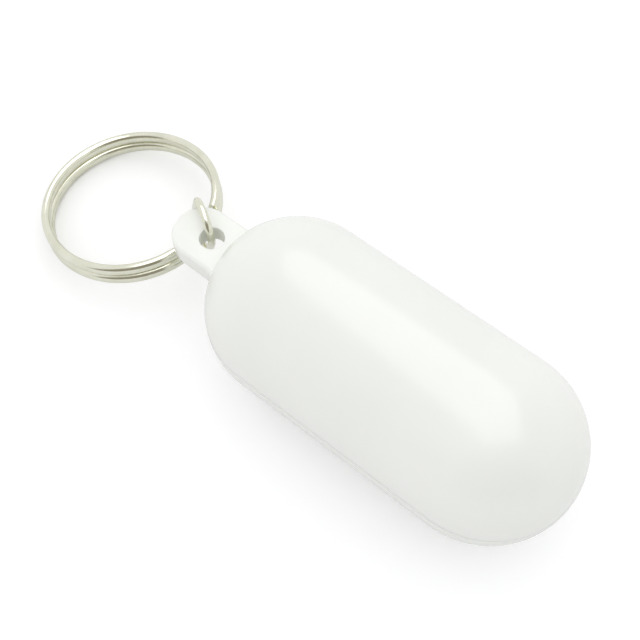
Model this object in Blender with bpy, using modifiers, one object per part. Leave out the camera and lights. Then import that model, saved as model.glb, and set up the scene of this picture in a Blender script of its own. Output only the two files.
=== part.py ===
# Floating keychain: a hollow round-ended float with an eyelet tab, an oval link through the eyelet
# and a two-turn split ring on the link. Metres, +Z up, the float lying along X on the ground.
# Run with: blender --background --python part.py

import math

import bmesh
import bpy
from mathutils import Matrix, Vector

MM = 0.001

# Float
FLOAT_DIAMETER = 27.2 * MM
FLOAT_LENGTH = 60.2 * MM
WALL = 1.8 * MM
SHELL_GAP = 0.3 * MM          # left between pieces that touch
LIP_WIDTH = 0.6 * MM          # tongue on the lower shell, inside the upper shell's rebate
LIP_HEIGHT = 0.9 * MM
ROUND_STEPS = 40              # facets round half of the float
END_STEPS = 12                # facets from the rim of a round end to its tip

# Eyelet tab, moulded on the upper shell above the parting plane
TAB_WIDTH = 9.1 * MM
TAB_REACH = 9.4 * MM          # from the float's tip to the end of the tab
TAB_TOP = 3.2 * MM            # above the float's axis
TAB_EDGE = 0.8 * MM           # radius of its edges
TAB_FLARE = 2.8 * MM          # radius of the flare where the tab meets the float
TAB_ROOT_DEPTH = 0.3 * MM     # how deep in the float's wall the flare ends
TAB_FLARE_STEPS = 6
TAB_BEND_STEPS = 24
EYE_DIAMETER = 3.8 * MM
EYE_OUT = 2.85 * MM           # from the float's tip to the centre of the eye
EYE_RIM = 0.25 * MM
EYE_STEPS = 32

# Split ring
RING_OUTER = 30.0 * MM
RING_WIRE_WIDTH = 1.55 * MM   # across the ring
RING_WIRE_HEIGHT = 1.95 * MM  # along the ring's axis
RING_PITCH = 2.15 * MM        # between the two turns
RING_AWAY = 21.35 * MM        # from the centre of the eye to the ring's centre, along X
RING_ASIDE = 2.3 * MM
RING_TILT = math.radians(7.4)         # the side at the tab is raised
RING_CLIMB_START = math.radians(24.0)  # where the lower turn starts to climb, under the tab
RING_CLIMB = math.radians(28.0)       # turn in which the wire climbs from the lower turn to the upper
RING_END_GAP = math.radians(3.0)      # between the climb and each cut end of the wire
RING_GRIP_ANGLE = math.radians(7.4)   # where the link holds the ring
RING_WIRE_SIDES = 14
RING_STEPS = 116

# Oval link
LINK_WIRE = 1.2 * MM
LINK_INNER_WIDTH = 5.45 * MM
LINK_TOP_PLAY = 0.3 * MM      # the upper bend's centre stands this far past the middle of the tab's bar
LINK_RING_SEAT = 1.8 * MM     # from the ring's middle to the inside of the lower bend
LINK_BUTT_GAP = 0.15 * MM
LINK_BEND_STEPS = 14

RADIUS = FLOAT_DIAMETER / 2
TIP_X = -FLOAT_LENGTH / 2
END_X = FLOAT_LENGTH / 2 - RADIUS     # centre of a round end, from the middle of the float
TAB_BOTTOM = SHELL_GAP / 2
EYE = Vector((TIP_X - EYE_OUT, 0, 0))


def clear_scene():
    for thing in list(bpy.data.objects):
        bpy.data.objects.remove(thing, do_unlink=True)


def new_collection(name):
    group = bpy.data.collections.new(name)
    bpy.context.scene.collection.children.link(group)
    return group


def material(name, colour, roughness, metallic):
    made = bpy.data.materials.new(name)
    made.use_nodes = True
    shader = made.node_tree.nodes["Principled BSDF"]
    shader.inputs["Base Color"].default_value = (*colour, 1)
    shader.inputs["Roughness"].default_value = roughness
    shader.inputs["Metallic"].default_value = metallic
    return made


def add_mesh_object(name, shape, group):
    mesh = bpy.data.meshes.new(name)
    shape.to_mesh(mesh)
    shape.free()
    thing = bpy.data.objects.new(name, mesh)
    group.objects.link(thing)
    return thing


def as_cutter(thing):
    thing.hide_render = True
    thing.display_type = "WIRE"
    return thing


def curve_to_mesh(curve_object, group):
    # The curve becomes a plain mesh with its caps welded, so that it can be joined or cut.
    graph = bpy.context.evaluated_depsgraph_get()
    mesh = bpy.data.meshes.new_from_object(curve_object.evaluated_get(graph))
    shape = bmesh.new()
    shape.from_mesh(mesh)
    bmesh.ops.remove_doubles(shape, verts=shape.verts, dist=1e-6)
    shape.to_mesh(mesh)
    shape.free()
    thing = bpy.data.objects.new(curve_object.name + "_mesh", mesh)
    group.objects.link(thing)
    thing.matrix_world = curve_object.matrix_world
    bpy.data.objects.remove(curve_object, do_unlink=True)
    return thing


def boolean(thing, other, operation):
    step = thing.modifiers.new(operation.title() + " " + other.name, "BOOLEAN")
    step.operation = operation
    step.object = other
    step.solver = "EXACT"


def capsule(name, radius, group):
    # A turned profile: the two quarter circles and the straight side between them, spun round X.
    profile = []
    for i in range(END_STEPS + 1):
        turn = math.radians(90) * i / END_STEPS
        profile.append((END_X + radius * math.cos(turn), radius * math.sin(turn)))
    for i in range(END_STEPS + 1):
        turn = math.radians(90) * i / END_STEPS
        profile.append((-END_X - radius * math.sin(turn), radius * math.cos(turn)))
    shape = bmesh.new()
    # The profile lies along local Z so that the Screw modifier turns it about its own axis.
    points = [shape.verts.new((side, 0, along)) for along, side in profile]
    for first, second in zip(points, points[1:]):
        shape.edges.new((first, second))
    thing = add_mesh_object(name, shape, group)
    thing.rotation_euler = (0, math.radians(90), 0)
    spin = thing.modifiers.new("Spin", "SCREW")
    spin.angle = math.radians(360)
    spin.steps = ROUND_STEPS * 2
    spin.render_steps = ROUND_STEPS * 2
    spin.use_smooth_shade = True
    spin.use_merge_vertices = True
    spin.merge_threshold = 0.00001
    return thing


def stadium(radius):
    # Outline of the float in plan at the parting plane, moved in or out to the given end radius.
    points = []
    for side in (1, -1):
        for i in range(2 * END_STEPS + 1):
            turn = math.radians(90) * (i / END_STEPS - 1)
            x = side * (END_X + radius * math.cos(turn))
            points.append((x, side * radius * math.sin(turn)))
    return points


def flat_outline(name, loops, bottom, top, group):
    # A filled 2D curve with thickness; a second loop inside the first is a hole.
    curve = bpy.data.curves.new(name, "CURVE")
    curve.dimensions = "2D"
    curve.fill_mode = "BOTH"
    curve.extrude = (top - bottom) / 2
    for points in loops:
        line = curve.splines.new("POLY")
        line.points.add(len(points) - 1)
        for point, (x, y) in zip(line.points, points):
            point.co = (x, y, 0, 1)
        line.use_cyclic_u = True
    thing = bpy.data.objects.new(name, curve)
    thing.location.z = (top + bottom) / 2
    group.objects.link(thing)
    bpy.context.view_layer.update()
    return curve_to_mesh(thing, group)


def half_space(name, above, group):
    # A block that takes away everything above or below one side of the gap at the parting plane.
    size = FLOAT_LENGTH * 2
    shape = bmesh.new()
    bmesh.ops.create_cube(shape, size=size)
    thing = add_mesh_object(name, shape, group)
    offset = (size - SHELL_GAP) / 2
    thing.location.z = offset if above else -offset
    return as_cutter(thing)


def tab_outline():
    # From inside the float along one flare, round the end of the tab and back along the other flare.
    half = TAB_WIDTH / 2
    bend_x = TIP_X - TAB_REACH + half
    flare_x = -END_X - math.sqrt((RADIUS - TAB_ROOT_DEPTH) ** 2 - (half + TAB_FLARE) ** 2)
    right = [(flare_x + WALL, -half - TAB_FLARE)]
    for i in range(TAB_FLARE_STEPS + 1):
        turn = math.radians(90) * i / TAB_FLARE_STEPS
        x = flare_x - TAB_FLARE * (1 - math.cos(turn))
        y = -half - TAB_FLARE * (1 - math.sin(turn))
        right.append((x, y))
    bend = []
    for i in range(TAB_BEND_STEPS + 1):
        turn = math.radians(-90 - 180 * i / TAB_BEND_STEPS)
        bend.append((bend_x + half * math.cos(turn), half * math.sin(turn)))
    left = [(x, -y) for x, y in reversed(right)]
    return right + bend + left


def eye_cutter(group):
    # A turned plug with flared ends, so that the eye's rims are eased.
    radius = EYE_DIAMETER / 2
    outside = TAB_TOP + EYE_RIM
    profile = [
        (0, outside),
        (radius + 2 * EYE_RIM, outside),
        (radius, TAB_TOP - EYE_RIM),
        (radius, TAB_BOTTOM + EYE_RIM),
        (radius + 2 * EYE_RIM, TAB_BOTTOM - EYE_RIM),
        (0, TAB_BOTTOM - EYE_RIM),
    ]
    shape = bmesh.new()
    points = [shape.verts.new((x, 0, z)) for x, z in profile]
    for first, second in zip(points, points[1:]):
        shape.edges.new((first, second))
    thing = add_mesh_object("eye_cutter", shape, group)
    thing.location.x = EYE.x
    spin = thing.modifiers.new("Spin", "SCREW")
    spin.angle = math.radians(360)
    spin.steps = EYE_STEPS
    spin.render_steps = EYE_STEPS
    spin.use_merge_vertices = True
    spin.merge_threshold = 0.00001
    return as_cutter(thing)


def upper_shell(part, tools, plastic):
    shell = capsule("float_upper_shell", RADIUS, part)
    # The tab is first made too deep, and is cut off with the shell at the parting plane.
    tab = flat_outline("tab", [tab_outline()], -TAB_TOP, TAB_TOP, tools)
    rounding = tab.modifiers.new("Edges", "BEVEL")
    rounding.width = TAB_EDGE
    rounding.segments = 4
    rounding.limit_method = "ANGLE"
    rounding.angle_limit = math.radians(50)
    boolean(shell, as_cutter(tab), "UNION")
    hollow = as_cutter(capsule("upper_hollow", RADIUS - WALL, tools))
    boolean(shell, hollow, "DIFFERENCE")
    boolean(shell, half_space("below_parting", False, tools), "DIFFERENCE")
    boolean(shell, eye_cutter(tools), "DIFFERENCE")
    # The rebate clears the lower shell's tongue on its side and above it.
    rebate_radius = RADIUS - WALL + LIP_WIDTH + SHELL_GAP
    rebate = flat_outline("rebate", [stadium(rebate_radius)], -SHELL_GAP, LIP_HEIGHT + SHELL_GAP, tools)
    boolean(shell, as_cutter(rebate), "DIFFERENCE")
    shell.data.materials.append(plastic)
    return shell


def lower_shell(part, tools, plastic):
    shell = capsule("float_lower_shell", RADIUS, part)
    hollow = as_cutter(capsule("lower_hollow", RADIUS - WALL, tools))
    boolean(shell, half_space("above_parting", True, tools), "DIFFERENCE")
    # The tongue stands on the inner part of the rim and runs all the way round it.
    loops = [stadium(RADIUS - WALL + LIP_WIDTH), stadium(RADIUS - WALL)]
    tongue = flat_outline("tongue", loops, -WALL, LIP_HEIGHT, tools)
    boolean(shell, as_cutter(tongue), "UNION")
    boolean(shell, hollow, "DIFFERENCE")
    shell.data.materials.append(plastic)
    return shell


def ring_frame():
    # The split ring's centre and its two in-plane directions; it leans on the ground at its far side.
    mean = (RING_OUTER - RING_WIRE_WIDTH) / 2
    reach = mean * math.sin(RING_TILT) + RING_PITCH / 2 * math.cos(RING_TILT)
    reach += math.hypot(RING_WIRE_WIDTH / 2 * math.sin(RING_TILT), RING_WIRE_HEIGHT / 2 * math.cos(RING_TILT))
    centre = Vector((EYE.x - RING_AWAY, RING_ASIDE, reach - RADIUS))
    toward_tab = Vector((math.cos(RING_TILT), 0, math.sin(RING_TILT)))
    return centre, toward_tab, Vector((0, 1, 0)), mean


def ring_point(angle, height=0):
    centre, toward_tab, aside, mean = ring_frame()
    up = toward_tab.cross(aside)
    return centre + mean * (math.cos(angle) * toward_tab + math.sin(angle) * aside) + height * up


def wire(name, points, cyclic, profile, thickness, group):
    curve = bpy.data.curves.new(name, "CURVE")
    curve.dimensions = "3D"
    curve.twist_mode = "Z_UP"
    curve.use_fill_caps = True
    if profile:
        curve.bevel_mode = "OBJECT"
        curve.bevel_object = profile
    else:
        curve.bevel_depth = thickness / 2
        curve.bevel_resolution = 4
    line = curve.splines.new("POLY")
    line.points.add(len(points) - 1)
    for point, place in zip(line.points, points):
        point.co = (*place, 1)
    line.use_cyclic_u = cyclic
    line.use_smooth = True
    thing = bpy.data.objects.new(name, curve)
    group.objects.link(thing)
    return thing


def oval_profile(group):
    # Section of the spring wire: an oval, a little taller than it is wide.
    curve = bpy.data.curves.new("ring_wire_section", "CURVE")
    curve.dimensions = "2D"
    line = curve.splines.new("POLY")
    line.points.add(RING_WIRE_SIDES - 1)
    for i, point in enumerate(line.points):
        turn = -math.radians(360) * i / RING_WIRE_SIDES
        point.co = (RING_WIRE_WIDTH / 2 * math.cos(turn), RING_WIRE_HEIGHT / 2 * math.sin(turn), 0, 1)
    line.use_cyclic_u = True
    thing = bpy.data.objects.new("ring_wire_section", curve)
    group.objects.link(thing)
    return as_cutter(thing)


def split_ring(part, tools, steel):
    # Clockwise from above: the lower turn, the climb over its start, then the upper turn.
    centre, toward_tab, aside, mean = ring_frame()
    full = math.radians(360)
    start = RING_CLIMB + RING_END_GAP
    finish = 2 * full - RING_END_GAP
    points = []
    for i in range(RING_STEPS + 1):
        run = start + (finish - start) * i / RING_STEPS
        climb = min(max((run - full) / RING_CLIMB, 0), 1)
        height = RING_PITCH * ((1 - math.cos(math.pi * climb)) / 2 - 0.5)
        angle = RING_CLIMB_START - run
        points.append(Vector((mean * math.cos(angle), mean * math.sin(angle), height)))
    ring = wire("split_ring", points, False, oval_profile(tools), 0, part)
    up = toward_tab.cross(aside)
    turn = Matrix((toward_tab, aside, up)).transposed().to_4x4()
    ring.matrix_world = Matrix.Translation(centre) @ turn
    ring.data.materials.append(steel)
    return ring


def bar_middle(direction):
    # Middle of the tab's bar between the eye and the tab's edge, along a horizontal direction.
    half = TAB_WIDTH / 2
    bend_x = TIP_X - TAB_REACH + half
    along = (bend_x - EYE.x) * direction.x
    across = (bend_x - EYE.x) ** 2 - half ** 2
    edge = along + math.sqrt(along ** 2 - across)
    middle = EYE + direction * (EYE_DIAMETER / 2 + edge) / 2
    middle.z = (TAB_TOP + TAB_BOTTOM) / 2
    return middle


def link_frame():
    # The link's plane is upright and holds the eye and the place where it grips the split ring.
    grip = ring_point(RING_GRIP_ANGLE)
    outward = Vector((grip.x - EYE.x, grip.y - EYE.y, 0)).normalized()
    bar = bar_middle(outward)
    down = (grip - bar).normalized()
    hinge = outward.cross(Vector((0, 0, 1)))
    return bar, grip, down, hinge


def oval_link(part, steel):
    bar, grip, down, hinge = link_frame()
    across = down.cross(hinge)
    bend = (LINK_INNER_WIDTH + LINK_WIRE) / 2
    top = -LINK_TOP_PLAY
    low = (grip - bar).length + LINK_RING_SEAT - LINK_INNER_WIDTH / 2
    middle = (top + low) / 2
    points = [(bend, middle + LINK_BUTT_GAP / 2)]
    for i in range(LINK_BEND_STEPS + 1):
        turn = math.pi * i / LINK_BEND_STEPS
        points.append((bend * math.cos(turn), low + bend * math.sin(turn)))
    for i in range(LINK_BEND_STEPS + 1):
        turn = math.pi * (1 + i / LINK_BEND_STEPS)
        points.append((bend * math.cos(turn), top + bend * math.sin(turn)))
    points.append((bend, middle - LINK_BUTT_GAP / 2))
    places = [Vector((side, along, 0)) for side, along in points]
    link = wire("oval_link", places, False, None, LINK_WIRE, part)
    turn = Matrix((across, down, across.cross(down))).transposed().to_4x4()
    link.matrix_world = Matrix.Translation(bar) @ turn
    link.data.materials.append(steel)
    return link


def stand_on_ground(part, tools):
    # One empty carries every piece and cutter, so that the whole stands at the middle of its base.
    bpy.context.view_layer.update()
    graph = bpy.context.evaluated_depsgraph_get()
    corners = []
    for piece in part.objects:
        shown = piece.evaluated_get(graph)
        mesh = shown.to_mesh()
        corners += [shown.matrix_world @ point.co for point in mesh.vertices]
        shown.to_mesh_clear()
    low = Vector([min(corner[i] for corner in corners) for i in range(3)])
    high = Vector([max(corner[i] for corner in corners) for i in range(3)])
    base = bpy.data.objects.new("base_point", None)
    tools.objects.link(base)
    for thing in list(part.objects) + list(tools.objects):
        if thing is not base:
            thing.parent = base
    base.location = (-(low.x + high.x) / 2, -(low.y + high.y) / 2, -low.z)
    bpy.context.view_layer.update()


def build():
    clear_scene()
    part = new_collection("floating_keychain")
    tools = new_collection("cutters")
    plastic = material("gloss_white_plastic", (0.86, 0.87, 0.85), 0.12, 0.0)
    steel = material("nickel_plated_steel", (0.62, 0.59, 0.50), 0.18, 1.0)
    upper_shell(part, tools, plastic)
    lower_shell(part, tools, plastic)
    split_ring(part, tools, steel)
    oval_link(part, steel)
    stand_on_ground(part, tools)


build()
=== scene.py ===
import math

import bmesh
import bpy
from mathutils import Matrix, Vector


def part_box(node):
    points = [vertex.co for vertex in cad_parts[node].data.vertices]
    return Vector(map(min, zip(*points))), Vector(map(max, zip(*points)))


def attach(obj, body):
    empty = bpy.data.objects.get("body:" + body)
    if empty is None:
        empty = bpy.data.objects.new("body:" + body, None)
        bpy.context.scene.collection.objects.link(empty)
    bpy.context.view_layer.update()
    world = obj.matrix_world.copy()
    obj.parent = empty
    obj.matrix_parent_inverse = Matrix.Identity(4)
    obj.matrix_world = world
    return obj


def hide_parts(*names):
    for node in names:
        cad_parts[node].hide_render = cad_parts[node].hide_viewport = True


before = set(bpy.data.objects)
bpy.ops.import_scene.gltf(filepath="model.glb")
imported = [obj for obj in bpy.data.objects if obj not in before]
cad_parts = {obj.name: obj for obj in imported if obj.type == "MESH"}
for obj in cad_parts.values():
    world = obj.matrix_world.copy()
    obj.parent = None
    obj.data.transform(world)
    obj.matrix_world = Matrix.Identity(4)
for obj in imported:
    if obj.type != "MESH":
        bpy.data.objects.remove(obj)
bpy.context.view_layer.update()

MM = 0.001


# Camera: a short telephoto looking down on the float from beside its free end. Everything is
# measured from the centre of the round end that carries the tab, on the float's own axis.
shell_low, shell_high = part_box("float_lower_shell")
FLOAT_RADIUS = (shell_high.y - shell_low.y) / 2
FLOAT_STRAIGHT = shell_high.x - shell_low.x - 2 * FLOAT_RADIUS
TAB_END_CENTRE = Vector((
    shell_low.x + FLOAT_RADIUS, (shell_low.y + shell_high.y) / 2, FLOAT_RADIUS))

CAMERA_OFFSET = Vector((47.02, -53.39, 126.68)) * MM
CAMERA_ELEVATION = math.radians(61.29)
CAMERA_AZIMUTH = math.radians(38.85)
camera_data = bpy.data.cameras.new("camera")
camera_data.sensor_width = 36.0
camera_data.lens = 56.25
camera_data.clip_start = 0.01
camera_data.clip_end = 20.0
camera = bpy.data.objects.new("camera", camera_data)
bpy.context.scene.collection.objects.link(camera)
camera.location = TAB_END_CENTRE + CAMERA_OFFSET
camera.rotation_euler = (math.radians(90) - CAMERA_ELEVATION, 0, CAMERA_AZIMUTH)
bpy.context.scene.camera = camera


# Upper shell: half of the hollow float, injection moulded in white plastic, with the eyelet tab
# moulded on above the parting plane. Its rim is rebated to take the lower shell's tongue. The
# plastic is glossy and faintly greenish, and a little uneven in colour and surface.
def float_plastic():
    material = bpy.data.materials.new("white_gloss_plastic")
    material.use_nodes = True
    nodes, links = material.node_tree.nodes, material.node_tree.links
    shader = nodes["Principled BSDF"]
    place = nodes.new("ShaderNodeTexCoord")
    cloud = nodes.new("ShaderNodeTexNoise")
    cloud.inputs["Scale"].default_value = 55.0
    cloud.inputs["Detail"].default_value = 3.0
    tint = nodes.new("ShaderNodeValToRGB")
    tint.color_ramp.elements[0].position = 0.3
    tint.color_ramp.elements[0].color = (0.865, 0.880, 0.842, 1)
    tint.color_ramp.elements[1].position = 0.7
    tint.color_ramp.elements[1].color = (0.895, 0.908, 0.872, 1)
    gloss = nodes.new("ShaderNodeMapRange")
    gloss.inputs["To Min"].default_value = 0.18
    gloss.inputs["To Max"].default_value = 0.27
    skin = nodes.new("ShaderNodeTexNoise")
    skin.inputs["Scale"].default_value = 420.0
    skin.inputs["Detail"].default_value = 2.0
    bump = nodes.new("ShaderNodeBump")
    bump.inputs["Strength"].default_value = 0.03
    bump.inputs["Distance"].default_value = 0.0002
    links.new(place.outputs["Object"], cloud.inputs["Vector"])
    links.new(place.outputs["Object"], skin.inputs["Vector"])
    links.new(cloud.outputs["Fac"], tint.inputs["Fac"])
    links.new(tint.outputs["Color"], shader.inputs["Base Color"])
    links.new(cloud.outputs["Fac"], gloss.inputs["Value"])
    links.new(gloss.outputs["Result"], shader.inputs["Roughness"])
    links.new(skin.outputs["Fac"], bump.inputs["Height"])
    links.new(bump.outputs["Normal"], shader.inputs["Normal"])
    shader.inputs["IOR"].default_value = 1.49
    shader.inputs["Subsurface Weight"].default_value = 0.25
    shader.inputs["Subsurface Radius"].default_value = (1.0, 1.0, 0.9)
    shader.inputs["Subsurface Scale"].default_value = 1.2 * MM
    return material


PLASTIC = float_plastic()
WALL = 1.8 * MM
SHELL_GAP = 0.3 * MM        # between tongue and rebate
SEAM_GAP = 0.10 * MM        # between the two shells, on the outside
SEAM_EDGE = 0.05 * MM
LIP_WIDTH = 0.6 * MM
LIP_HEIGHT = 0.9 * MM
TAB_HALF_WIDTH = 4.55 * MM
TAB_REACH = 9.4 * MM
TAB_TOP = 3.2 * MM
TAB_EDGE = 0.8 * MM
TAB_FLARE = 2.8 * MM
TAB_FLARE_END = 2.515 * MM
EYE_RADIUS = 1.9 * MM
EYE_OUT = 2.85 * MM
EYE_RIM = 0.3 * MM
TIP_X = TAB_END_CENTRE.x - FLOAT_RADIUS
AXIS_Y = TAB_END_CENTRE.y
AXIS_Z = TAB_END_CENTRE.z
BALL_SEGMENTS = 128
BALL_RINGS = 64
STRAIGHT_STEPS = 6
TAB_SIDES = 96
FLARE_STEPS = 8
EYE_SIDES = 64
CLOSE = 0.01 * MM


def deselect():
    if bpy.context.object and bpy.context.object.mode != "OBJECT":
        bpy.ops.object.mode_set(mode="OBJECT")
    bpy.ops.object.select_all(action="DESELECT")


def pick(piece):
    deselect()
    bpy.context.view_layer.objects.active = piece
    piece.select_set(True)


def select_faces(piece, wanted):
    # In edit mode, leaves only the faces that the test names selected.
    bpy.ops.mesh.select_mode(type="FACE")
    bpy.ops.mesh.select_all(action="DESELECT")
    mesh = bmesh.from_edit_mesh(piece.data)
    for face in mesh.faces:
        if wanted(face):
            face.select_set(True)
    bmesh.update_edit_mesh(piece.data)


def select_edges(piece, wanted):
    bpy.ops.mesh.select_mode(type="EDGE")
    bpy.ops.mesh.select_all(action="DESELECT")
    mesh = bmesh.from_edit_mesh(piece.data)
    for edge in mesh.edges:
        if wanted(edge):
            edge.select_set(True)
    bmesh.update_edit_mesh(piece.data)


def extrude_along_float(distance):
    bpy.ops.mesh.extrude_region_move(TRANSFORM_OT_translate={"value": (distance, 0, 0)})


def lies_flat(face):
    return abs(face.normal.z) > 0.9


def stands_up(face):
    return abs(face.normal.z) < 0.5


def apply_boolean(piece, other, operation):
    step = piece.modifiers.new(operation, "BOOLEAN")
    step.operation = operation
    step.object = other
    step.solver = "EXACT"
    pick(piece)
    bpy.ops.object.modifier_apply(modifier=step.name)
    bpy.data.objects.remove(other, do_unlink=True)


def capsule(name, radius):
    # Half a ball, its open rim drawn out to the float's middle, and the other half mirrored on.
    deselect()
    bpy.ops.mesh.primitive_uv_sphere_add(
        segments=BALL_SEGMENTS, ring_count=BALL_RINGS, radius=radius,
        rotation=(0, math.radians(90), 0))
    piece = bpy.context.object
    piece.name = name
    bpy.ops.object.transform_apply(location=False, rotation=True, scale=False)
    bpy.ops.object.mode_set(mode="EDIT")
    bpy.ops.mesh.select_all(action="SELECT")
    bpy.ops.mesh.bisect(plane_co=(0, 0, 0), plane_no=(1, 0, 0), clear_inner=True)
    bpy.ops.mesh.select_all(action="SELECT")
    bpy.ops.transform.translate(value=(FLOAT_STRAIGHT / 2, 0, 0))
    select_edges(piece, lambda edge: edge.is_boundary)
    for _ in range(STRAIGHT_STEPS):
        extrude_along_float(-FLOAT_STRAIGHT / 2 / STRAIGHT_STEPS)
    bpy.ops.object.mode_set(mode="OBJECT")
    mirror = piece.modifiers.new("other_end", "MIRROR")
    mirror.merge_threshold = CLOSE
    bpy.ops.object.modifier_apply(modifier=mirror.name)
    bpy.ops.object.mode_set(mode="EDIT")
    bpy.ops.mesh.select_all(action="SELECT")
    bpy.ops.mesh.remove_doubles(threshold=CLOSE / 10)
    bpy.ops.mesh.normals_make_consistent(inside=False)
    bpy.ops.transform.translate(value=TAB_END_CENTRE + Vector((FLOAT_STRAIGHT / 2, 0, 0)))
    bpy.ops.object.mode_set(mode="OBJECT")
    return piece


def trim(piece, height, keep_above):
    # A block takes off everything below or above a height over the float's axis.
    deselect()
    size = 8 * FLOAT_STRAIGHT
    middle = AXIS_Z + height + (-size / 2 if keep_above else size / 2)
    bpy.ops.mesh.primitive_cube_add(size=size, location=(0, 0, middle))
    apply_boolean(piece, bpy.context.object, "DIFFERENCE")


def ease_rim(piece, height, width):
    # Breaks the sharp outer edge where the shell ends at the parting plane.
    pick(piece)
    bpy.ops.object.mode_set(mode="EDIT")
    level = AXIS_Z + height

    def on_rim(edge):
        if any(abs(vertex.co.z - level) > CLOSE for vertex in edge.verts):
            return False
        walls = [face for face in edge.link_faces if stands_up(face)]
        if not walls or not any(lies_flat(face) for face in edge.link_faces):
            return False
        middle = (edge.verts[0].co + edge.verts[1].co) / 2
        near_x = min(max(middle.x, TAB_END_CENTRE.x), TAB_END_CENTRE.x + FLOAT_STRAIGHT)
        out = Vector((middle.x - near_x, middle.y - AXIS_Y, 0))
        return walls[0].normal.dot(out) > 0 and out.length > FLOAT_RADIUS - WALL / 3
    select_edges(piece, on_rim)
    bpy.ops.mesh.bevel(offset=width, segments=3, affect="EDGES", clamp_overlap=True)
    bpy.ops.object.mode_set(mode="OBJECT")


def eyelet_tab():
    # A round end drawn back to the float, where the sides flare out into the ball.
    deselect()
    bend_x = TIP_X - TAB_REACH + TAB_HALF_WIDTH
    bpy.ops.mesh.primitive_cylinder_add(
        vertices=TAB_SIDES, radius=TAB_HALF_WIDTH, depth=2 * TAB_TOP,
        location=(bend_x, AXIS_Y, AXIS_Z))
    tab = bpy.context.object
    tab.name = "tab_blank"
    bpy.ops.object.transform_apply(location=True, rotation=True, scale=True)
    bpy.ops.object.mode_set(mode="EDIT")
    bpy.ops.mesh.select_all(action="SELECT")
    bpy.ops.mesh.bisect(
        plane_co=(bend_x, 0, 0), plane_no=(1, 0, 0), clear_outer=True, use_fill=True)
    flare_x = TIP_X + TAB_FLARE_END
    select_faces(tab, lambda face: face.normal.x > 0.9)
    extrude_along_float(flare_x - TAB_FLARE - bend_x)
    width = TAB_HALF_WIDTH
    for i in range(1, FLARE_STEPS + 1):
        before = math.radians(90) * (i - 1) / FLARE_STEPS
        turn = math.radians(90) * i / FLARE_STEPS
        wider = TAB_HALF_WIDTH + TAB_FLARE * (1 - math.cos(turn))
        extrude_along_float(TAB_FLARE * (math.sin(turn) - math.sin(before)))
        bpy.ops.transform.resize(
            value=(1, wider / width, 1), center_override=(flare_x, AXIS_Y, AXIS_Z))
        width = wider
    extrude_along_float(WALL)
    # The top becomes one face, so that the bevel runs evenly along its outline.
    select_faces(tab, lambda face: face.normal.z > 0.9)
    bpy.ops.mesh.dissolve_faces()

    def on_top_outline(edge):
        level = all(abs(vertex.co.z - AXIS_Z - TAB_TOP) < CLOSE for vertex in edge.verts)
        return level and any(stands_up(face) for face in edge.link_faces)
    select_edges(tab, on_top_outline)
    bpy.ops.mesh.bevel(offset=TAB_EDGE, segments=6, affect="EDGES", clamp_overlap=True)
    bpy.ops.object.mode_set(mode="OBJECT")
    return tab


def eye_plug():
    deselect()
    bpy.ops.mesh.primitive_cylinder_add(
        vertices=EYE_SIDES, radius=EYE_RADIUS, depth=4 * TAB_TOP,
        location=(TIP_X - EYE_OUT, AXIS_Y, AXIS_Z))
    plug = bpy.context.object
    bpy.ops.object.transform_apply(location=True, rotation=True, scale=True)
    return plug


def ease_eye(piece):
    # Rounds the hole's rims on the tab's top and underside.
    pick(piece)
    bpy.ops.object.mode_set(mode="EDIT")
    centre = Vector((TIP_X - EYE_OUT, AXIS_Y))

    def on_eye(edge):
        for vertex in edge.verts:
            if abs((vertex.co.xy - centre).length - EYE_RADIUS) > 4 * CLOSE:
                return False
        level = abs(edge.verts[0].co.z - edge.verts[1].co.z) < CLOSE
        return level and any(lies_flat(face) for face in edge.link_faces)
    select_edges(piece, on_eye)
    bpy.ops.mesh.bevel(offset=EYE_RIM, segments=4, affect="EDGES", clamp_overlap=True)
    bpy.ops.object.mode_set(mode="OBJECT")


def finish_moulding(piece, node):
    pick(piece)
    bpy.ops.object.shade_smooth_by_angle(angle=math.radians(32))
    piece.data.materials.clear()
    piece.data.materials.append(PLASTIC)
    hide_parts(node)
    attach(piece, "float")


upper = capsule("upper_shell", FLOAT_RADIUS)
apply_boolean(upper, eyelet_tab(), "UNION")
apply_boolean(upper, capsule("upper_hollow", FLOAT_RADIUS - WALL), "DIFFERENCE")
trim(upper, SEAM_GAP / 2, True)
apply_boolean(upper, eye_plug(), "DIFFERENCE")
rebate = capsule("rebate", FLOAT_RADIUS - WALL + LIP_WIDTH + SHELL_GAP)
trim(rebate, LIP_HEIGHT + SHELL_GAP, False)
trim(rebate, -SHELL_GAP, True)
apply_boolean(upper, rebate, "DIFFERENCE")
ease_eye(upper)
ease_rim(upper, SEAM_GAP / 2, SEAM_EDGE)
finish_moulding(upper, "float_upper_shell")


# Lower shell: the plain half of the float, moulded in the same plastic. A tongue round its rim
# stands in the upper shell's rebate, and the two are welded there.
lower = capsule("lower_shell", FLOAT_RADIUS)
trim(lower, -SEAM_GAP / 2, False)
tongue = capsule("tongue", FLOAT_RADIUS - WALL + LIP_WIDTH)
trim(tongue, LIP_HEIGHT, False)
trim(tongue, -WALL, True)
apply_boolean(lower, tongue, "UNION")
apply_boolean(lower, capsule("lower_hollow", FLOAT_RADIUS - WALL), "DIFFERENCE")
ease_rim(lower, -SEAM_GAP / 2, SEAM_EDGE)
finish_moulding(lower, "float_lower_shell")


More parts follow.
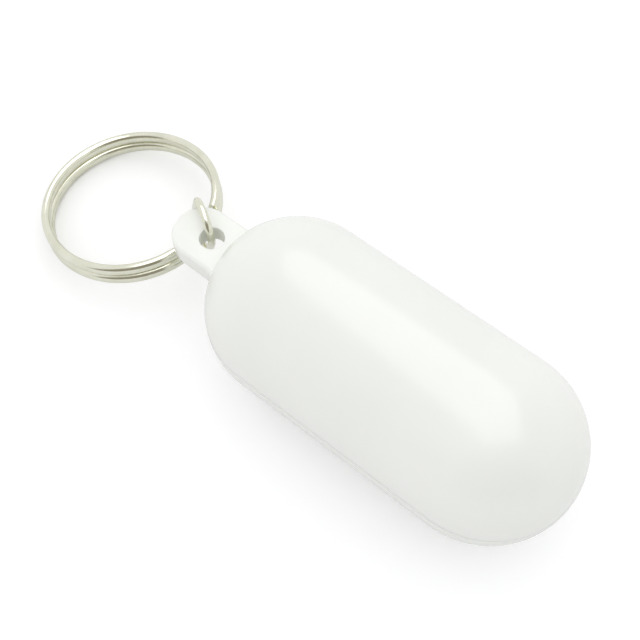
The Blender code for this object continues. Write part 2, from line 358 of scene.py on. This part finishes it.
# Split ring: oval spring-steel wire wound in two turns and plated in warm nickel. The lower turn
# climbs over its own start, under the tab, and the cut ends lie on either side of the climb.
def nickel_plate():
    material = bpy.data.materials.new("warm_nickel_plate")
    material.use_nodes = True
    nodes, links = material.node_tree.nodes, material.node_tree.links
    shader = nodes["Principled BSDF"]
    place = nodes.new("ShaderNodeTexCoord")
    cloud = nodes.new("ShaderNodeTexNoise")
    cloud.inputs["Scale"].default_value = 260.0
    cloud.inputs["Detail"].default_value = 4.0
    tint = nodes.new("ShaderNodeValToRGB")
    tint.color_ramp.elements[0].position = 0.3
    tint.color_ramp.elements[0].color = (0.76, 0.76, 0.635, 1)
    tint.color_ramp.elements[1].position = 0.7
    tint.color_ramp.elements[1].color = (0.87, 0.87, 0.75, 1)
    gloss = nodes.new("ShaderNodeMapRange")
    gloss.inputs["To Min"].default_value = 0.10
    gloss.inputs["To Max"].default_value = 0.22
    drawn = nodes.new("ShaderNodeTexNoise")
    drawn.inputs["Scale"].default_value = 1800.0
    drawn.inputs["Detail"].default_value = 2.0
    bump = nodes.new("ShaderNodeBump")
    bump.inputs["Strength"].default_value = 0.08
    bump.inputs["Distance"].default_value = 0.00005
    links.new(place.outputs["Object"], cloud.inputs["Vector"])
    links.new(place.outputs["Object"], drawn.inputs["Vector"])
    links.new(cloud.outputs["Fac"], tint.inputs["Fac"])
    links.new(tint.outputs["Color"], shader.inputs["Base Color"])
    links.new(cloud.outputs["Fac"], gloss.inputs["Value"])
    links.new(gloss.outputs["Result"], shader.inputs["Roughness"])
    links.new(drawn.outputs["Fac"], bump.inputs["Height"])
    links.new(bump.outputs["Normal"], shader.inputs["Normal"])
    shader.inputs["Metallic"].default_value = 1.0
    return material


NICKEL = nickel_plate()
RING_OUTER = 14.99 * MM
RING_WIRE_WIDTH = 1.53 * MM
RING_WIRE_HEIGHT = 1.95 * MM
RING_PITCH = 2.15 * MM
RING_TILT = math.radians(7.4)
RING_CLIMB_START = math.radians(24.0)
RING_CLIMB = math.radians(28.0)
RING_END_GAP = math.radians(3.0)
RING_AWAY = 21.35 * MM
RING_ASIDE = 2.3 * MM
RING_MEAN = RING_OUTER - RING_WIRE_WIDTH / 2
RING_STEPS = 224
WIRE_SIDES = 28
FULL_TURN = math.radians(360)
EYE_CENTRE = Vector((TIP_X - EYE_OUT, AXIS_Y, AXIS_Z))


def swept_wire(name, width, height, stations):
    # An oval face is drawn along the stations, each a place, a heading and an upward direction.
    deselect()
    bpy.ops.mesh.primitive_circle_add(vertices=WIRE_SIDES, radius=0.5, fill_type="NGON")
    piece = bpy.context.object
    piece.name = name
    bpy.ops.object.mode_set(mode="EDIT")
    bpy.ops.mesh.select_all(action="SELECT")
    bpy.ops.transform.resize(value=(width, height, 1))
    section = [vertex.co.copy() for vertex in bmesh.from_edit_mesh(piece.data).verts]
    for number, (place, heading, up) in enumerate(stations):
        if number:
            bpy.ops.mesh.extrude_region_move()
        side = heading.cross(up).normalized()
        mesh = bmesh.from_edit_mesh(piece.data)
        ring = [vertex for vertex in mesh.verts if vertex.select]
        for vertex, flat in zip(sorted(ring, key=lambda v: v.index), section):
            vertex.co = place + side * flat.x + up * flat.y
        bmesh.update_edit_mesh(piece.data)
    bpy.ops.object.mode_set(mode="OBJECT")
    return piece


def ring_stations():
    # Two turns, less the gaps at the cut ends, with one smooth climb from the lower to the upper.
    start = RING_CLIMB + RING_END_GAP
    finish = 2 * FULL_TURN - RING_END_GAP
    stations = []
    for i in range(RING_STEPS + 1):
        run = start + (finish - start) * i / RING_STEPS
        climb = min(max((run - FULL_TURN) / RING_CLIMB, 0), 1)
        height = RING_PITCH * ((1 - math.cos(math.pi * climb)) / 2 - 0.5)
        slope = RING_PITCH * math.pi * math.sin(math.pi * climb) / 2 / RING_CLIMB
        angle = RING_CLIMB_START - run
        out = Vector((math.cos(angle), math.sin(angle), 0))
        along = Vector((math.sin(angle) * RING_MEAN, -math.cos(angle) * RING_MEAN, slope))
        along.normalize()
        place = out * RING_MEAN + Vector((0, 0, height))
        stations.append((place, along, along.cross(out).normalized() * -1))
    return stations


def finish_wire(piece, node, body):
    pick(piece)
    bpy.ops.object.transform_apply(location=True, rotation=True, scale=True)
    bpy.ops.object.mode_set(mode="EDIT")
    bpy.ops.mesh.select_all(action="SELECT")
    bpy.ops.mesh.normals_make_consistent(inside=False)
    bpy.ops.object.mode_set(mode="OBJECT")
    bpy.ops.object.shade_smooth_by_angle(angle=math.radians(40))
    piece.data.materials.clear()
    piece.data.materials.append(NICKEL)
    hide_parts(node)
    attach(piece, body)


# The ring leans with its far side on the ground, so its centre is this high.
half_oval = math.hypot(
    RING_WIRE_WIDTH / 2 * math.sin(RING_TILT), RING_WIRE_HEIGHT / 2 * math.cos(RING_TILT))
lean = RING_MEAN * math.sin(RING_TILT) + RING_PITCH / 2 * math.cos(RING_TILT) + half_oval
RING_CENTRE = Vector((EYE_CENTRE.x - RING_AWAY, AXIS_Y + RING_ASIDE, lean))
split_ring = swept_wire("split_ring_wire", RING_WIRE_WIDTH, RING_WIRE_HEIGHT, ring_stations())
split_ring.rotation_euler = (0, -RING_TILT, 0)
split_ring.location = RING_CENTRE
finish_wire(split_ring, "split_ring", "ring")


# Oval link: round steel wire bent to a long oval and closed with a butt joint, nickel plated. It
# hangs through the eyelet and holds the split ring in its lower bend.
LINK_WIRE = 1.2 * MM
LINK_INNER_WIDTH = 5.45 * MM
LINK_TOP_PLAY = 0.3 * MM
LINK_RING_SEAT = 1.8 * MM
LINK_BUTT_GAP = 0.15 * MM
LINK_BEND_STEPS = 28
GRIP_ANGLE = math.radians(7.4)
TAB_BOTTOM = SHELL_GAP / 2

# GRIP is where the link takes the ring's wire, and BAR the middle of the plastic that it hangs on.
toward_tab = Vector((math.cos(RING_TILT), 0, math.sin(RING_TILT)))
GRIP = RING_CENTRE + RING_MEAN * (
    math.cos(GRIP_ANGLE) * toward_tab + math.sin(GRIP_ANGLE) * Vector((0, 1, 0)))
outward = Vector((GRIP.x - EYE_CENTRE.x, GRIP.y - EYE_CENTRE.y, 0)).normalized()
bend_off = TAB_HALF_WIDTH - TAB_REACH + EYE_OUT
along_bar = bend_off * outward.x
edge_of_tab = along_bar + math.sqrt(along_bar ** 2 - bend_off ** 2 + TAB_HALF_WIDTH ** 2)
BAR = EYE_CENTRE + outward * (EYE_RADIUS + edge_of_tab) / 2
BAR.z = AXIS_Z + (TAB_TOP + TAB_BOTTOM) / 2
down = (GRIP - BAR).normalized()
hinge = outward.cross(Vector((0, 0, 1)))
across = down.cross(hinge)


def link_stations():
    # From one side of the butt joint round the lower bend and the upper bend to the other side.
    bend = (LINK_INNER_WIDTH + LINK_WIRE) / 2
    top = -LINK_TOP_PLAY
    low = (GRIP - BAR).length + LINK_RING_SEAT - LINK_INNER_WIDTH / 2
    middle = (top + low) / 2
    turns = [math.pi * i / LINK_BEND_STEPS for i in range(LINK_BEND_STEPS + 1)]
    flat = [(bend, middle + LINK_BUTT_GAP / 2, 0.0)]
    flat += [(bend * math.cos(turn), low + bend * math.sin(turn), turn) for turn in turns]
    flat += [(-bend * math.cos(turn), top - bend * math.sin(turn), math.pi + turn)
             for turn in turns]
    flat.append((bend, middle - LINK_BUTT_GAP / 2, FULL_TURN))
    stations = []
    for side, run, turn in flat:
        heading = -math.sin(turn) * across + math.cos(turn) * down
        stations.append((BAR + side * across + run * down, heading, hinge))
    return stations


oval_link = swept_wire("oval_link_wire", LINK_WIRE, LINK_WIRE, link_stations())
finish_wire(oval_link, "oval_link", "link")


# Floor: a seamless white sheet. The camera sees it lifted to white, with the object's soft contact
# shadow still on it, and all other rays meet plain white paper.
bpy.ops.mesh.primitive_plane_add(size=6.0, location=(0, 0, 0))
floor = bpy.context.object
floor.name = "floor"
floor_paper = bpy.data.materials.new("white_paper")
floor_paper.use_nodes = True
nodes, links = floor_paper.node_tree.nodes, floor_paper.node_tree.links
nodes.clear()
paper = nodes.new("ShaderNodeBsdfDiffuse")
paper.inputs["Color"].default_value = (0.86, 0.86, 0.86, 1)
seen_paper = nodes.new("ShaderNodeBsdfDiffuse")
seen_paper.inputs["Color"].default_value = (0.90, 0.90, 0.91, 1)
lift = nodes.new("ShaderNodeEmission")
lift.inputs["Strength"].default_value = 0.185
lifted = nodes.new("ShaderNodeAddShader")
ray = nodes.new("ShaderNodeLightPath")
choice = nodes.new("ShaderNodeMixShader")
output = nodes.new("ShaderNodeOutputMaterial")
links.new(seen_paper.outputs["BSDF"], lifted.inputs[0])
links.new(lift.outputs["Emission"], lifted.inputs[1])
links.new(ray.outputs["Is Camera Ray"], choice.inputs["Fac"])
links.new(paper.outputs["BSDF"], choice.inputs[1])
links.new(lifted.outputs["Shader"], choice.inputs[2])
links.new(choice.outputs["Shader"], output.inputs["Surface"])
floor.data.materials.append(floor_paper)


# Light: a white tent, a little dimmer at the float's free end, gives all the soft light. The gloss
# and the metal also show a soft box lying overhead and the tent's dim opening by the camera.
box_data = bpy.data.lights.new("overhead_box", "AREA")
box_data.shape = "RECTANGLE"
box_data.size = 0.85
box_data.size_y = 0.50
box_data.energy = 2.2
overhead_box = bpy.data.objects.new("overhead_box", box_data)
bpy.context.scene.collection.objects.link(overhead_box)
overhead_box.location = (-0.046, 0.175, 0.60)
overhead_box.rotation_euler = (0, 0, math.radians(-47.5))
overhead_box.visible_diffuse = False

TENT_BRIGHT_SIDE = (-0.48, 0.36, 0.80)
TENT_OPENING = (0.62, -0.77, 0.12)
world = bpy.data.worlds.new("white_tent")
bpy.context.scene.world = world
world.use_nodes = True
nodes, links = world.node_tree.nodes, world.node_tree.links
nodes.clear()
direction = nodes.new("ShaderNodeTexCoord")
ray = nodes.new("ShaderNodeLightPath")
toward_bright = nodes.new("ShaderNodeVectorMath")
toward_bright.operation = "DOT_PRODUCT"
toward_bright.inputs[1].default_value = TENT_BRIGHT_SIDE
level = nodes.new("ShaderNodeMapRange")
level.inputs["From Min"].default_value = -1.0
level.inputs["To Min"].default_value = 0.54
level.inputs["To Max"].default_value = 1.17
walls = nodes.new("ShaderNodeBackground")
walls.inputs["Color"].default_value = (1, 1, 1, 1)
links.new(direction.outputs["Generated"], toward_bright.inputs[0])
links.new(toward_bright.outputs["Value"], level.inputs["Value"])
links.new(level.outputs["Result"], walls.inputs["Strength"])
toward_opening = nodes.new("ShaderNodeVectorMath")
toward_opening.operation = "DOT_PRODUCT"
toward_opening.inputs[1].default_value = TENT_OPENING
opening = nodes.new("ShaderNodeValToRGB")
opening.color_ramp.elements[0].position = 0.60
opening.color_ramp.elements[0].color = (0.88, 0.88, 0.87, 1)
opening.color_ramp.elements[1].position = 0.76
opening.color_ramp.elements[1].color = (0.30, 0.28, 0.23, 1)
gloss_sees = nodes.new("ShaderNodeBackground")
links.new(direction.outputs["Generated"], toward_opening.inputs[0])
links.new(toward_opening.outputs["Value"], opening.inputs["Fac"])
links.new(opening.outputs["Color"], gloss_sees.inputs["Color"])
camera_sees = nodes.new("ShaderNodeBackground")
camera_sees.inputs["Color"].default_value = (1, 1, 1, 1)
for_gloss = nodes.new("ShaderNodeMixShader")
for_camera = nodes.new("ShaderNodeMixShader")
world_output = nodes.new("ShaderNodeOutputWorld")
links.new(ray.outputs["Is Glossy Ray"], for_gloss.inputs["Fac"])
links.new(walls.outputs["Background"], for_gloss.inputs[1])
links.new(gloss_sees.outputs["Background"], for_gloss.inputs[2])
links.new(ray.outputs["Is Camera Ray"], for_camera.inputs["Fac"])
links.new(for_gloss.outputs["Shader"], for_camera.inputs[1])
links.new(camera_sees.outputs["Background"], for_camera.inputs[2])
links.new(for_camera.outputs["Shader"], world_output.inputs["Surface"])

bpy.context.scene.view_settings.view_transform = "Standard"
